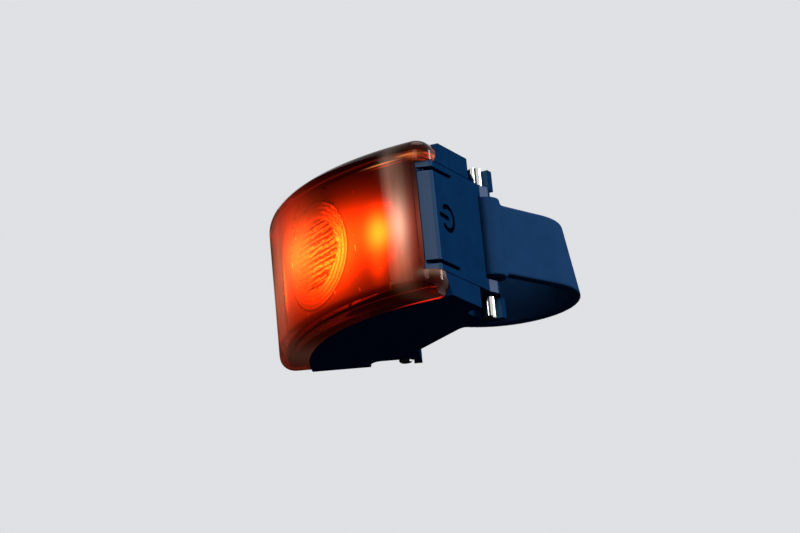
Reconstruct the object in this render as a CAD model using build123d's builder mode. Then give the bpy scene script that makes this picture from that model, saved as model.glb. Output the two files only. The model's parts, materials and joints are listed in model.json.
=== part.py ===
"""Bicycle tail light with a wrap-around lens, strapped to a round seatpost.

Frame: the origin is on the seatpost's axis at the light's mid-height. +Z is the light's
vertical, the lens faces -Y, and the power button is on the +X side. Sizes are millimetres.
"""
import os
from math import acos, asin, atan2, cos, hypot, radians, sin, sqrt

from build123d import *

# Seatpost that the strap holds on to
post_radius = 13.6
post_lean = 11.0

# Overall form: a keystone in plan, wide at the lens and narrow at the post
half_height = 15.3
half_width = 28.5
side_taper = 29.7
face_to_post = 31.35
front_reach = 12.0
front_radius = 50.0
corner_radius = 3.4
edge_radius = 2.8
seam = 0.1

# Lens cover
lens_wall = 1.8
rim_reach = 6.7
arm_end_inner = 1.3
arm_end_outer = 3.6

# Seal round the housing's spigot
seal_width = 0.7
seal_depth = 0.6
seal_back = 0.3
seal_relief = 0.25

# Housing
plate_step = 0.16
side_wall = 1.7
spigot_wall = 1.0
cavity_back = 10.2
spigot_length = 1.3
saddle_depth = 16.8
saddle_flat = 8.0
saddle_bend = 3.0
post_clearance = 0.4
block_length = 15.5
horn_reach = 26.0

# Side panels and the ears that carry the strap pins
panel_half_height = 10.85
panel_thickness = 1.8
strip_width = 3.17
strip_angle = 54.7
panel_length = 18.8
ear_inner = 8.35
ear_start = 19.84
ear_radius = 2.6

# Power button: a tongue cut free by two slots
slot_centre = 9.2
slot_width = 0.8
tongue_root = 8.0
button_at = 4.6
tongue_gap = 0.4
button_relief = 0.6
nib_radius = 1.2
nib_chamfer = 0.3
nib_gap = 0.05

# Strap pins
pin_radius = 1.4
pin_along = 22.57
pin_sink = 2.05
pin_fit = 0.03
pin_space = 0.35
pin_chamfer = 0.25
channel_corner = 2.0

# Silicone strap
strap_thickness = 2.2
strap_half_height = 7.7
loop_radius = 3.5
loop_half_height = 8.1
loop_fit = 0.06
loop_space = 0.25
hook_gap = 60.0
hook_gap_at = 145.0
tab_reach = 9.0
tab_thickness = 1.1
tab_half_height = 5.6
grip_radius = 0.45
grip_pitch = 1.5
grip_count = 3

# Rubber saddle pad
pad_thickness = 1.3
pad_half_width = 9.2
pad_short_below = 2.6
pad_short_above = 1.4
pad_reach = 22.0

# Charging port in the far panel, and its flap
port_at = 6.3
port_width = 3.3
port_height = 9.1
port_depth = 6.6
port_shell = 0.35
port_mouth = 0.3
port_tongue_height = 6.7
port_tongue_thickness = 0.7
port_base = 1.0
port_tongue_setback = 0.8
flap_start = 2.4
flap_end = 11.2
flap_half_height = 7.0
flap_thickness = 1.1
flap_space = 0.15
flap_corner = 1.2
flap_lip_half = 3.0
plug_depth = 0.8
plug_space = 0.5
lip_radius = 0.5

# Optics
optic_top_gap = 0.3
optic_radius = 9.6
optic_face = 8.5
optic_rim_width = 0.9
optic_rim_height = 0.4
optic_flange = 0.4
optic_bulge = 0.6
optic_foot = 3.8
optic_foot_height = 1.2
rib_pitch = 1.6
rib_height = 0.45
rib_groove = 1.2
rib_reach = 8.0
side_optic_inset = 13.5
side_optic_height = 1.1
side_optic_radius = 2.6
side_optic_dome = 3.8
optic_space = 0.15

# Boards and what they carry
board_thickness = 1.0
board_front = 2.2
board_margin = 0.3
board_gap = 2.4
led_board_inset = 10.9
control_inset = 13.9
tray_inset = 8.0
tray_thickness = 1.0
tray_lip_width = 0.9
tray_lip_height = 1.4
led_size = 3.2
side_led_size = 2.4
led_base = 0.5
led_height = 0.9
led_space = 0.15
sensor_size = 1.6
sensor_height = 0.6
sensor_edge = 2.7
sensor_window = 1.3
chip_size = 4.4
chip_height = 0.9
chip_across = 6.0
boss_side_edge = 3.6
boss_top_edge = 2.2
boss_radius = 1.5
screw_radius = 0.6
screw_fit = 0.05
screw_head_radius = 1.1
screw_head_height = 0.5
screw_grip = 2.6
cell_inset = 14.5
cell_half_height = 8.0
cell_thickness = 5.6
cell_corner = 1.4
cell_space = 0.2
cell_tab_across = 8.0
cell_tab_up = 5.0
cell_tab_width = 1.6
cell_tab_sheet = 0.3

# Switch behind the button, and the small upright boards at the sides
switch_size = 4.4
switch_height = 1.8
switch_bore_depth = 0.5
plunger_radius = 0.9
plunger_fit = 0.08
plunger_length = 1.2
plunger_sunk = 0.25
boot_radius = 2.2
boot_thickness = 0.9
boot_space = 0.25
carrier_thickness = 0.8
carrier_half_width = 2.6
carrier_margin = 1.7
rail_thickness = 1.0
carrier_space = 0.2

# Values that follow from the sizes above
taper = radians(side_taper)
lean = radians(post_lean)
front_y = -face_to_post
arc_centre_y = front_y - front_reach + front_radius
plate_half_height = half_height - plate_step
spigot_inset = lens_wall + seam
panel_floor = panel_thickness + seam
cavity_inset = panel_floor + side_wall
cavity_half_height = half_height - spigot_inset - spigot_wall
pad_low = plate_half_height - pad_short_below
pad_high = plate_half_height - pad_short_above
recess_half_height = panel_half_height + seam
tongue_half_height = slot_centre - slot_width / 2
pin_room = pin_radius + pin_space
strap_room = loop_radius + loop_space
far_out = 8.0

# Depths below the side face, going in from the button to its board and from the port to its
boot_top = panel_floor + button_relief + seam
plunger_top = boot_top + boot_thickness
switch_top = plunger_top + plunger_length - plunger_sunk
switch_back = switch_top + switch_height
port_top = panel_floor + port_mouth
port_back = port_top + port_depth

# Boards, optics and bosses inside the housing's cavity, from the light's width and height
board_half_height = cavity_half_height - board_margin
led_board_half_width = half_width - led_board_inset
control_half_width = half_width - control_inset
tray_half_width = half_width - tray_inset
cell_half_width = half_width - cell_inset
side_optic_at = half_width - side_optic_inset
optic_height = half_height - lens_wall - optic_top_gap - optic_radius
sensor_drop = board_half_height - sensor_edge
boss_across = control_half_width - boss_side_edge
boss_up = board_half_height - boss_top_edge

# Front faces of the LED board, the control board and the bosses behind it
led_board_y = front_y - board_front
tray_y = led_board_y - tray_thickness
control_y = led_board_y + board_thickness + board_gap
boss_y = control_y + board_thickness
boss_points = [(i * boss_across, j * boss_up) for i in (-1, 1) for j in (-1, 1)]


def side_xy(along, out=0.0):
    """Point beside the right side face: along it from its front edge, and out from it."""
    x = half_width - along * sin(taper) + out * cos(taper)
    y = front_y + along * cos(taper) + out * sin(taper)
    return x, y


def left(point):
    """The same point on the left side."""
    return -point[0], point[1]


def right_plane(out=0.0):
    """Plane on the right side face: x runs rearwards from the front edge, y up, z outwards."""
    x, y = side_xy(0, out)
    return Plane(origin=(x, y, 0), x_dir=(-sin(taper), cos(taper), 0), z_dir=(cos(taper), sin(taper), 0))


def left_plane(out=0.0):
    """The matching plane on the left side: x runs rearwards, y down, z outwards."""
    x, y = left(side_xy(0, out))
    return Plane(origin=(x, y, 0), x_dir=(sin(taper), cos(taper), 0), z_dir=(-cos(taper), sin(taper), 0))


def strip_front(gap=0.0):
    """Front edge of a panel's bevelled strip, moved rearwards along the lens by gap."""
    angle = radians(strip_angle)
    x = half_width - strip_width * cos(angle)
    y = front_y - strip_width * sin(angle)
    ex, ey = lens_normal(x, y)
    return x - gap * ey, y + gap * ex


def lens_normal(x, y):
    """Outward direction of the lens beside a point."""
    reach = hypot(x, y - arc_centre_y)
    return x / reach, (y - arc_centre_y) / reach


def front_block(inset, back):
    """The lens's rounded envelope, drawn in by inset, from the front arc back to y = back."""
    x, y = side_xy(0, -inset)
    # where the side face, run forwards, meets the front arc
    b = -x * sin(taper) + (y - arc_centre_y) * cos(taper)
    c = x * x + (y - arc_centre_y) ** 2 - (front_radius - inset) ** 2
    corner = side_xy(-b - sqrt(b * b - c), -inset)
    rear = side_xy((back - y) / cos(taper), -inset)
    apex = (0, front_y - front_reach + inset)
    with BuildPart() as block:
        with BuildSketch(Plane.XY.offset(-(half_height - inset))):
            with BuildLine():
                ThreePointArc(left(corner), apex, corner)
                Polyline(corner, rear, left(rear), left(corner))
            make_face()
        extrude(amount=2 * (half_height - inset))
        fillet(block.edges().filter_by(Axis.Z).group_by(Axis.Y)[0], corner_radius - inset)
        for end in (0, -1):
            outline = block.faces().filter_by(Plane.XY).sort_by(Axis.Z)[end].edges()
            fillet([edge for edge in outline if edge.center().Y < back - seam / 2], edge_radius - inset)
    return block.part


def behind_arc(end, apex, height, back):
    """Everything behind an arc from side to side, out past the side faces, up to y = back."""
    wide = end[0] + far_out
    with BuildPart() as region:
        with BuildSketch(Plane.XY.offset(-height)):
            with BuildLine():
                ThreePointArc(left(end), apex, end)
                Polyline(end, (wide, end[1]), (wide, back), (-wide, back), (-wide, end[1]), left(end))
            make_face()
        extrude(amount=2 * height)
    return region.part


def behind_rim(shift, height, back):
    """Everything behind the seam between lens and plates, the seam moved forwards by shift."""
    x, y = side_xy(arm_end_outer)
    return behind_arc((x, y - shift), (0, front_y - rim_reach - shift), height, back)


def side_prism(plane, start, end, half_up, amount):
    """Box on a side plane, from start to end along it, half_up up and down, amount outwards."""
    with BuildPart() as prism:
        with BuildSketch(plane):
            with Locations(((start + end) / 2, 0)):
                Rectangle(end - start, 2 * half_up)
        extrude(amount=amount)
    return prism.part


def notch_cut(half_up):
    """Space beside the lens for both panels, cut square to the lens at the strips' front."""
    x, y = strip_front()
    ex, ey = lens_normal(x, y)
    with BuildPart() as cut:
        with BuildSketch(Plane.XY.offset(-half_up)):
            with BuildLine():
                Polyline((x - far_out * ex, y - far_out * ey), (x + far_out * ex, y + far_out * ey),
                         side_xy(0, 2 * far_out), side_xy(block_length, far_out),
                         side_xy(block_length, -far_out), close=True)
            make_face()
        extrude(amount=2 * half_up)
        mirror(about=Plane.YZ)
    return cut.part


def arm_wedges(gap, out, top):
    """Four prisms behind the slanted ends of the lens arms, from the panel's floor to out."""
    slope = (arm_end_outer - arm_end_inner) / (half_height - panel_half_height)
    low = recess_half_height
    start = arm_end_inner + gap + slope * (low - panel_half_height)
    end = arm_end_inner + gap + slope * (top - panel_half_height)
    back = arm_end_outer + 2
    with BuildPart() as wedges:
        for up in (1, -1):
            with BuildSketch(right_plane(-panel_floor)):
                with BuildLine():
                    Polyline((start, up * low), (end, up * top), (back, up * top),
                             (back, up * low), close=True)
                make_face()
            extrude(amount=panel_floor + out)
        mirror(about=Plane.YZ)
    return wedges.part


def channel_cut():
    """Upright channels for the pins, between side blocks and horns."""
    floor = -pin_sink - pin_room
    with BuildPart() as channel:
        with BuildSketch(Plane.XY.offset(-half_height)) as plan:
            with BuildLine():
                Polyline(side_xy(block_length, far_out), side_xy(block_length, floor),
                         side_xy(pin_along, floor), side_xy(pin_along + pin_room, -pin_sink),
                         side_xy(pin_along + pin_room, far_out), close=True)
            make_face()
            inner = Vector(*side_xy(block_length, floor))
            fillet(plan.vertices().sort_by_distance(inner)[0], channel_corner)
            with Locations(side_xy(pin_along, -pin_sink)):
                Circle(pin_room)
        extrude(amount=2 * half_height)
        mirror(about=Plane.YZ)
    return channel.part


def strap_space():
    """Room for ears, loops and strap between the upper and lower horns."""
    deep = -pin_sink - strap_room
    past = horn_reach + far_out
    with BuildPart() as space:
        with BuildSketch(Plane.XY.offset(-recess_half_height)):
            with BuildLine():
                Polyline(side_xy(block_length, far_out), side_xy(block_length, -panel_floor),
                         side_xy(pin_along, deep), side_xy(past, deep), side_xy(past, far_out),
                         close=True)
            make_face()
            with Locations(side_xy(pin_along, -pin_sink)):
                Circle(strap_room)
        extrude(amount=2 * recess_half_height)
        mirror(about=Plane.YZ)
    return space.part


def port_prism(out, side_space, amount):
    """Obround prism inwards from the left side face, centred on the charging port."""
    width = port_width - 2 * side_space
    height = port_height - 2 * side_space
    with BuildPart() as prism:
        with BuildSketch(left_plane(out)):
            with Locations((port_at, 0)):
                SlotOverall(height, width, rotation=90)
        extrude(amount=-amount)
    return prism.part


def post_cylinder(radius):
    """Cylinder on the leaning seatpost's axis, longer than the light is tall."""
    with BuildPart() as cylinder:
        with BuildSketch(Plane((0, 0, 0), x_dir=(1, 0, 0), z_dir=(0, -sin(lean), cos(lean)))):
            Circle(radius)
        extrude(amount=2 * half_height, both=True)
    return cylinder.part


def body_block():
    """Housing behind the seam line: side faces, horn tips and concave back."""
    end = side_xy(arm_end_outer + seam)
    tip = side_xy(horn_reach)
    back = front_y + saddle_depth
    with BuildPart() as block:
        with BuildSketch(Plane.XY.offset(-plate_half_height)) as plan:
            with BuildLine():
                ThreePointArc(left(end), (0, front_y - rim_reach + seam), end)
                Polyline(end, tip, (saddle_flat, back), (-saddle_flat, back), left(tip), left(end))
            make_face()
            bends = [corner for corner in plan.vertices() if abs(corner.Y - back) < seam]
            fillet(bends, saddle_bend)
        extrude(amount=2 * plate_half_height)
    return block.part


def spigot_block():
    """The part of the housing that enters the lens."""
    x, y = strip_front()
    with BuildPart() as block:
        add(front_block(spigot_inset, front_y + cavity_back))
        apex = (0, front_y - rim_reach - spigot_length)
        add(behind_arc((x, y), apex, half_height, front_y + saddle_depth), mode=Mode.INTERSECT)
    return block.part


def panel_plate(gap=seam):
    """A side panel without its ears, gap short of the lens: bevelled strip, flat face, inner curve."""
    x, y = strip_front(gap)
    ex, ey = lens_normal(x, y)
    with BuildPart() as plate:
        with BuildSketch(Plane.XY.offset(-panel_half_height)):
            with BuildLine():
                Polyline((x, y), side_xy(0), side_xy(ear_start), side_xy(ear_start, -far_out),
                         (x - far_out * ex, y - far_out * ey), close=True)
            make_face()
        extrude(amount=2 * panel_half_height)
        add(front_block(panel_thickness, front_y + saddle_depth + far_out), mode=Mode.SUBTRACT)
    return plate.part


def panel_ears():
    """Two faceted ears that wrap the strap pin, above and below the loop; right side."""
    fall = hypot(pin_along - ear_start, pin_sink)
    touch = sqrt(fall ** 2 - ear_radius ** 2)
    rise = asin(ear_radius / fall) - atan2(pin_sink, pin_along - ear_start)
    crown = side_xy(ear_start + touch * cos(rise), touch * sin(rise))
    with BuildPart() as ears:
        for low in (ear_inner, -panel_half_height):
            with BuildSketch(Plane.XY.offset(low)):
                with BuildLine():
                    Polyline(side_xy(panel_length - 1), side_xy(ear_start), crown,
                             side_xy(pin_along, -pin_sink), side_xy(pin_along, -pin_sink - ear_radius),
                             side_xy(panel_length - 1, -panel_thickness), close=True)
                make_face()
                with Locations(side_xy(pin_along, -pin_sink)):
                    Circle(ear_radius)
                    Circle(pin_radius + pin_fit, mode=Mode.SUBTRACT)
            extrude(amount=panel_half_height - ear_inner)
    return ears.part


def loop_gap():
    """Cut that leaves the plate short of the strap loop, between the ears; right side."""
    return side_prism(right_plane(-far_out), panel_length, ear_start + 1, ear_inner, 2 * far_out)


def tongue_prism(half_up, end, out):
    """Box round the button tongue, from ahead of the panel back to end."""
    return side_prism(right_plane(-far_out), -far_out, end, half_up, far_out + out)


def button_slots():
    """The two slots that free the tongue, with round ends."""
    with BuildPart() as slots:
        with BuildSketch(right_plane(-far_out)):
            for up in (1, -1):
                with Locations((tongue_root - slot_width / 2, up * slot_centre)):
                    Circle(slot_width / 2)
                with Locations(((tongue_root - slot_width / 2 - far_out) / 2, up * slot_centre)):
                    Rectangle(tongue_root - slot_width / 2 + far_out, slot_width)
        extrude(amount=2 * far_out)
    return slots.part


def press_room(relief):
    """Room behind the tongue, relief deep, that it needs when it is pressed in."""
    with BuildPart() as room:
        add(tongue_prism(slot_centre, tongue_root - seam, far_out))
        add(front_block(spigot_inset + relief, front_y + saddle_depth + far_out), mode=Mode.SUBTRACT)
    return room.part


# Lens cover: a rounded shell, open behind, notched at both sides for the panels
with BuildPart() as lens_cover:
    add(front_block(0, front_y + cavity_back))
    add(front_block(lens_wall, front_y + saddle_depth), mode=Mode.SUBTRACT)
    add(behind_rim(0, half_height, front_y + saddle_depth), mode=Mode.SUBTRACT)
    add(notch_cut(recess_half_height), mode=Mode.SUBTRACT)
    add(arm_wedges(0, far_out, half_height + seam), mode=Mode.SUBTRACT)
lens_cover.part.label = "lens_cover"

# Seal: a square ring let into the housing's spigot, just ahead of the seam
with BuildPart() as lens_seal:
    add(front_block(spigot_inset, front_y + cavity_back))
    add(front_block(spigot_inset + seal_depth, front_y + saddle_depth), mode=Mode.SUBTRACT)
    add(behind_rim(seal_back + seal_width, half_height, front_y + saddle_depth), mode=Mode.INTERSECT)
    add(behind_rim(seal_back, half_height, front_y + saddle_depth), mode=Mode.SUBTRACT)
    add(press_room(seal_relief), mode=Mode.SUBTRACT)
lens_seal.part.label = "lens_seal"


def across(y):
    """Upright plane at y: its x is +X, its y is +Z, and a negative extrusion goes rearwards."""
    return Plane.XZ.offset(-y)


def pad_zone(margin):
    """Block behind the housing in which the saddle pad lies."""
    low, high = front_y + cavity_back + side_wall, front_y + pad_reach
    with BuildPart() as zone:
        with BuildSketch(Plane.XY.offset(-pad_low - margin)):
            with Locations((0, (low + high) / 2)):
                Rectangle(2 * (pad_half_width + margin), high - low)
        extrude(amount=pad_low + pad_high + 2 * margin)
    return zone.part


def carrier_rails(plane, at, half_gap, back):
    """Two ribs from the side wall in to a small upright board."""
    with BuildPart() as rails:
        with BuildSketch(plane(-back)):
            for up in (1, -1):
                with Locations((at, up * (half_gap + rail_thickness / 2))):
                    Rectangle(2 * carrier_half_width, rail_thickness)
        extrude(amount=back - cavity_inset + seam)
    return rails.part


# Housing: spigot, plates, side blocks, pin channels, horns, saddle and inner bosses
with BuildPart() as housing:
    add(body_block())
    add(spigot_block())
    add(arm_wedges(seam, 0, plate_half_height))
    cavity_rear = side_xy((cavity_back + cavity_inset * sin(taper)) / cos(taper), -cavity_inset)
    cavity_front = side_xy(-far_out, -cavity_inset)
    with BuildSketch(Plane.XY.offset(-cavity_half_height)):
        with BuildLine():
            Polyline(cavity_rear, cavity_front, left(cavity_front), left(cavity_rear), close=True)
        make_face()
    extrude(amount=2 * cavity_half_height, mode=Mode.SUBTRACT)
    for plane in (right_plane, left_plane):
        add(side_prism(plane(-panel_floor), -far_out, horn_reach, recess_half_height, far_out),
            mode=Mode.SUBTRACT)
    add(press_room(button_relief), mode=Mode.SUBTRACT)
    add(channel_cut(), mode=Mode.SUBTRACT)
    add(strap_space(), mode=Mode.SUBTRACT)
    add(lens_seal.part, mode=Mode.SUBTRACT)
    add(post_cylinder(post_radius + post_clearance), mode=Mode.SUBTRACT)
    add(pad_zone(seam).intersect(post_cylinder(post_radius + pad_thickness)), mode=Mode.SUBTRACT)
    # bosses for the board screws
    with BuildSketch(across(boss_y)):
        with Locations(*boss_points):
            Circle(boss_radius)
    extrude(amount=-(front_y + cavity_back + seam - boss_y))
    with BuildSketch(across(boss_y)):
        with Locations(*boss_points):
            Circle(screw_radius + screw_fit)
    extrude(amount=-(screw_grip + seam), mode=Mode.SUBTRACT)
    # ribs for the switch's board and the port's board
    add(carrier_rails(right_plane, button_at, switch_size / 2 + carrier_space, switch_back))
    add(carrier_rails(left_plane, port_at, port_height / 2 + carrier_space, port_back))
    # holes in the side walls for the switch boot and the charging port
    with BuildSketch(right_plane(-cavity_inset - seam)):
        with Locations((button_at, 0)):
            Circle(boot_radius + boot_space)
    extrude(amount=side_wall + seam, mode=Mode.SUBTRACT)
    add(port_prism(-port_top + port_mouth, -seam, side_wall + seam), mode=Mode.SUBTRACT)
housing.part.label = "housing"

# Saddle pad: rubber wedge between the housing's back and the leaning seatpost
with BuildPart() as saddle_pad:
    add(pad_zone(0))
    add(post_cylinder(post_radius), mode=Mode.SUBTRACT)
    add(housing.part, mode=Mode.SUBTRACT)
saddle_pad.part.label = "saddle_pad"

# Side panel with the power button: frame round the tongue, and the ears
with BuildPart() as side_panel_right:
    add(panel_plate())
    add(loop_gap(), mode=Mode.SUBTRACT)
    add(panel_ears())
    add(tongue_prism(tongue_half_height, tongue_root, far_out), mode=Mode.SUBTRACT)
    add(button_slots(), mode=Mode.SUBTRACT)
side_panel_right.part.label = "side_panel_right"

# Button tongue: flexes inwards about its root and pushes the switch boot with its nib
with BuildPart() as button_tongue:
    add(panel_plate(tongue_gap))
    add(tongue_prism(tongue_half_height, tongue_root, far_out), mode=Mode.INTERSECT)
    with BuildSketch(right_plane(-boot_top + nib_gap)) as nib:
        with Locations((button_at, 0)):
            Circle(nib_radius)
    extrude(amount=boot_top - nib_gap - panel_thickness + seam)
    nib_end = button_tongue.edges().filter_by(GeomType.CIRCLE).sort_by_distance(nib.face().center())[0]
    chamfer(nib_end, nib_chamfer)
button_tongue.part.label = "button_tongue"

# Far side panel: the same moulding without a button, recessed for the port flap
with BuildPart() as side_panel_left:
    add(panel_plate())
    add(loop_gap(), mode=Mode.SUBTRACT)
    add(panel_ears())
    mirror(about=Plane.YZ, mode=Mode.REPLACE)
    add(side_prism(left_plane(-flap_thickness), flap_start - flap_space, flap_end,
                   flap_half_height + flap_space, far_out), mode=Mode.SUBTRACT)
    add(port_prism(0, 0, panel_floor), mode=Mode.SUBTRACT)
side_panel_left.part.label = "side_panel_left"

# Port flap: rubber, with a plug that enters the port and a lip for a fingernail
with BuildPart() as port_flap:
    add(side_prism(left_plane(-flap_thickness), flap_start, flap_end, flap_half_height, flap_thickness))
    face_edges = port_flap.edges().filter_by(Axis((0, 0, 0), left_plane().z_dir))
    fillet(face_edges.group_by(Axis.Y)[0], flap_corner)
    add(port_prism(-flap_thickness + seam, plug_space, plug_depth + seam))
    with BuildSketch(Plane.XY.offset(-flap_lip_half)):
        with Locations(left(side_xy(flap_start + 2 * lip_radius, 0))):
            Circle(lip_radius)
    extrude(amount=2 * flap_lip_half)
port_flap.part.label = "port_flap"

# Strap pins: ground steel, as tall as the lens and chamfered at both ends
with BuildPart() as strap_pin_right:
    with BuildSketch(Plane.XY.offset(-half_height)):
        with Locations(side_xy(pin_along, -pin_sink)):
            Circle(pin_radius)
    extrude(amount=2 * half_height)
    chamfer(strap_pin_right.edges(), pin_chamfer)
strap_pin_right.part.label = "strap_pin_right"

with BuildPart() as strap_pin_left:
    add(strap_pin_right.part)
    mirror(about=Plane.YZ, mode=Mode.REPLACE)
strap_pin_left.part.label = "strap_pin_left"

# Strap: a band round the seatpost, drawn straight from each pin to where it meets the post
pin_x, pin_y = side_xy(pin_along, -pin_sink)
pin_distance = hypot(pin_x, pin_y)
wrap_radius = post_radius + strap_thickness
wrap_start = atan2(pin_y, pin_x) + acos((wrap_radius - loop_radius) / pin_distance)
out_x, out_y = cos(wrap_start), sin(wrap_start)


def level_height(radius, height):
    """Distance along the leaning axis at which a line at wrap_start reaches a level height."""
    return (height - radius * sin(wrap_start) * sin(lean)) / cos(lean)


def strap_arm():
    """Straight stretch from the right pin to the post, turning from upright to leaning."""
    inner = loop_radius - strap_thickness
    loop_side = Plane((pin_x, pin_y, 0), x_dir=(out_x, out_y, 0), z_dir=(-out_y, out_x, 0))
    radial = Vector(out_x, out_y * cos(lean), out_y * sin(lean))
    upward = Vector(0, -sin(lean), cos(lean))
    post_side = Plane((0, 0, 0), x_dir=radial, z_dir=radial.cross(upward) * -1)
    flip = 1 if post_side.y_dir.Z > 0 else -1
    with BuildPart() as arm:
        with BuildSketch(loop_side):
            with Locations((inner + strap_thickness / 2, 0)):
                Rectangle(strap_thickness, 2 * strap_half_height)
        with BuildSketch(post_side):
            with BuildLine():
                Polyline(*[(radius, flip * level_height(radius, height))
                           for radius, height in ((post_radius, -strap_half_height),
                                                  (wrap_radius, -strap_half_height),
                                                  (wrap_radius, strap_half_height),
                                                  (post_radius, strap_half_height))], close=True)
            make_face()
        loft(ruled=True)
    return arm.part


def strap_wrap():
    """Band round the back of the leaning post, cut level at top and bottom."""
    post_plane = Plane((0, 0, 0), x_dir=(1, 0, 0), z_dir=(0, -sin(lean), cos(lean)))
    wide = 2 * wrap_radius
    with BuildPart() as wrap:
        with BuildSketch(post_plane):
            Circle(wrap_radius)
            Circle(post_radius, mode=Mode.SUBTRACT)
            with BuildLine():
                Polyline((0, 0), (wide * out_x, wide * out_y), (wide * out_x, -wide),
                         (-wide * out_x, -wide), (-wide * out_x, wide * out_y), close=True)
            make_face(mode=Mode.SUBTRACT)
        extrude(amount=wide, both=True)
        Box(2 * wide, 2 * wide, 2 * strap_half_height, mode=Mode.INTERSECT)
    return wrap.part


with BuildPart() as strap:
    add(strap_arm())
    with BuildSketch(Plane.XY.offset(-loop_half_height)):
        with Locations((pin_x, pin_y)):
            Circle(loop_radius)
    extrude(amount=2 * loop_half_height)
    mirror(about=Plane.YZ)
    add(strap_wrap())
    # pull tab beside the far panel
    add(side_prism(left_plane(loop_radius - pin_sink - tab_thickness), pin_along - tab_reach,
                   pin_along, tab_half_height, tab_thickness))
    with BuildSketch(Plane.XY.offset(-tab_half_height)):
        for i in range(grip_count):
            at = side_xy(pin_along - tab_reach + (i + 1) * grip_pitch, loop_radius - pin_sink)
            with Locations(left(at)):
                Circle(grip_radius)
    extrude(amount=2 * tab_half_height)
    # bores for the pins, and the snap gap of the far hook
    with BuildSketch(Plane.XY.offset(-loop_half_height)):
        with Locations((pin_x, pin_y), (-pin_x, pin_y)):
            Circle(pin_radius + loop_fit)
        low, high = (radians(hook_gap_at + turn * hook_gap / 2) for turn in (-1, 1))
        reach = 2 * loop_radius
        with BuildLine():
            Polyline((-pin_x, pin_y), (-pin_x - reach * cos(low), pin_y + reach * sin(low)),
                     (-pin_x - reach * cos(high), pin_y + reach * sin(high)), close=True)
        make_face()
    extrude(amount=2 * loop_half_height, mode=Mode.SUBTRACT)
strap.part.label = "strap"


def screw_holes(plane_y, thickness):
    """Holes for the four board screws through a plate whose front face is at plane_y."""
    with BuildPart() as holes:
        with BuildSketch(across(plane_y)):
            with Locations(*boss_points):
                Circle(screw_radius + screw_fit)
        extrude(amount=-thickness)
    return holes.part


# Reflector tray: white plate on the LED board, with a rim and openings for the optics
with BuildPart() as reflector_tray:
    with BuildSketch(across(led_board_y)):
        Rectangle(2 * tray_half_width, 2 * board_half_height)
        with Locations((0, optic_height)):
            Circle(optic_foot + optic_space, mode=Mode.SUBTRACT)
        with Locations((-side_optic_at, side_optic_height), (side_optic_at, side_optic_height)):
            Circle(side_optic_radius + optic_space, mode=Mode.SUBTRACT)
        with Locations((0, -sensor_drop)):
            Circle(sensor_window, mode=Mode.SUBTRACT)
    extrude(amount=tray_thickness)
    with BuildSketch(across(tray_y)):
        Rectangle(2 * tray_half_width, 2 * board_half_height)
        Rectangle(2 * (tray_half_width - tray_lip_width), 2 * (board_half_height - tray_lip_width),
                  mode=Mode.SUBTRACT)
    extrude(amount=tray_lip_height)
    add(screw_holes(tray_y, tray_thickness), mode=Mode.SUBTRACT)
reflector_tray.part.label = "reflector_tray"

# Main optic: a bowl that stands round the main LED, with a rim and level ribs across its face
foot_y = led_board_y - optic_foot_height
face_y = front_y - optic_face
flange_y = face_y + optic_flange
led_room = led_size / sqrt(2) + led_space
with BuildPart() as main_optic:
    with BuildSketch(Plane.XY.offset(optic_height)):
        with BuildLine():
            neck = (optic_foot, foot_y)
            brim = (optic_radius - optic_rim_width, flange_y)
            SagittaArc(neck, brim, optic_bulge)
            Polyline(brim, (optic_radius, flange_y), (optic_radius, face_y - optic_rim_height),
                     (optic_radius - optic_rim_width, face_y - optic_rim_height),
                     (optic_radius - optic_rim_width, face_y), (0, face_y),
                     (0, led_board_y - led_height - led_space - led_base),
                     (led_room, led_board_y - led_height - led_space), (led_room, led_board_y),
                     (optic_foot, led_board_y), neck)
        make_face()
    revolve(axis=Axis((0, 0, optic_height), (0, 1, 0)))
    with BuildSketch(across(face_y)):
        with Locations((0, optic_height)):
            Circle(rib_reach)
    extrude(amount=rib_height)
    grooves = int(rib_reach / rib_pitch)
    with BuildSketch(Plane.YZ):
        for i in range(-grooves, grooves + 1):
            level = optic_height + i * rib_pitch
            with BuildLine():
                Polyline((face_y, level), (face_y - rib_height - seam, level - rib_groove / 2),
                         (face_y - rib_height - seam, level + rib_groove / 2), close=True)
            make_face()
    extrude(amount=optic_radius, both=True, mode=Mode.SUBTRACT)
main_optic.part.label = "main_optic"

# Side optic: a dome over each side LED
side_led_room = side_led_size / sqrt(2) + led_space
dome_y = led_board_y - side_optic_dome
shoulder_y = dome_y + side_optic_radius
with BuildPart() as side_optic_right:
    with BuildSketch(Plane.XY.offset(side_optic_height)):
        with BuildLine():
            RadiusArc((side_optic_at, dome_y), (side_optic_at + side_optic_radius, shoulder_y),
                      -side_optic_radius)
            Polyline((side_optic_at + side_optic_radius, shoulder_y),
                     (side_optic_at + side_optic_radius, led_board_y),
                     (side_optic_at + side_led_room, led_board_y),
                     (side_optic_at + side_led_room, led_board_y - led_height - led_space),
                     (side_optic_at, led_board_y - led_height - led_space), (side_optic_at, dome_y))
        make_face()
    revolve(axis=Axis((side_optic_at, 0, side_optic_height), (0, 1, 0)))
side_optic_right.part.label = "side_optic_right"

with BuildPart() as side_optic_left:
    add(side_optic_right.part)
    mirror(about=Plane.YZ, mode=Mode.REPLACE)
side_optic_left.part.label = "side_optic_left"


def led(x, z, size):
    """LED on the LED board: square package with a round emitter."""
    with BuildPart() as package:
        with BuildSketch(across(led_board_y)):
            with Locations((x, z)):
                Rectangle(size, size)
        extrude(amount=led_base)
        with BuildSketch(across(led_board_y - led_base)):
            with Locations((x, z)):
                Circle(size / 2 - led_space)
        extrude(amount=led_height - led_base)
    return package.part


with BuildPart() as main_led:
    add(led(0, optic_height, led_size))
main_led.part.label = "main_led"

with BuildPart() as side_led_right:
    add(led(side_optic_at, side_optic_height, side_led_size))
side_led_right.part.label = "side_led_right"

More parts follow.
